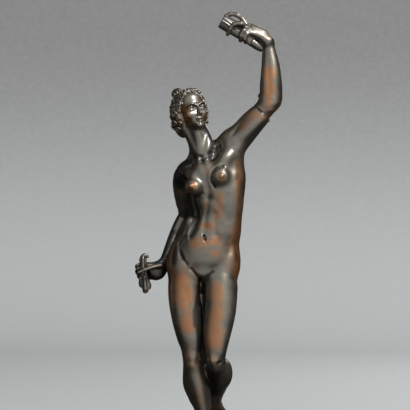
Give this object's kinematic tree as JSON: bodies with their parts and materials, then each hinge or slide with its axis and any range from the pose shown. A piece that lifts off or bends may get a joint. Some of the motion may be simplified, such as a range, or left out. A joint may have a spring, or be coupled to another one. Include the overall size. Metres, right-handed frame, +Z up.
{
  "type": "bronze statuette",
  "caption": "Bronze statuette of a nude woman poised on a globe, one arm raised and one lowered, each hand holding the stub of a lost sail, on a turned wooden socle.",
  "frame": {"origin": "centre of the underside of the socle's felt pad, where the statuette rests", "axes": "+Z up, +X towards the figure's left and raised arm, -Y the way the figure faces"},
  "size_m": [0.1473, 0.1601, 0.5734],
  "materials": {
    "bronze": "dark brown patina over worn reddish bronze, satin gloss",
    "bronze_plug": "dark patina, flush filed",
    "stub_bronze": "grey brown patina, rubbed",
    "iron": "rusted wire",
    "clay_core": "fired sandy clay",
    "steel": "plain steel",
    "wood": "ebonised pearwood, waxed",
    "felt": "green wool felt"
  },
  "bodies": {
    "root": {"figure_casting": "bronze", "raised_forearm": "bronze", "lowered_forearm": "bronze", "raised_sail_stub": "stub_bronze", "lowered_sail_stub": "stub_bronze", "raised_elbow_pin": "bronze_plug", "lowered_elbow_pin": "bronze_plug", "raised_stub_rivet": "bronze_plug", "lowered_stub_rivet": "bronze_plug", "core_pin_plugs": "bronze_plug", "torso_core": "clay_core", "core_armature": "iron", "globe": "bronze", "plinth": "bronze", "locating_pins": "bronze_plug", "socle": "wood", "mounting_rod": "steel", "rod_washer": "steel", "rod_nut": "steel", "felt_pad": "felt"}
  },
  "joints": []
}
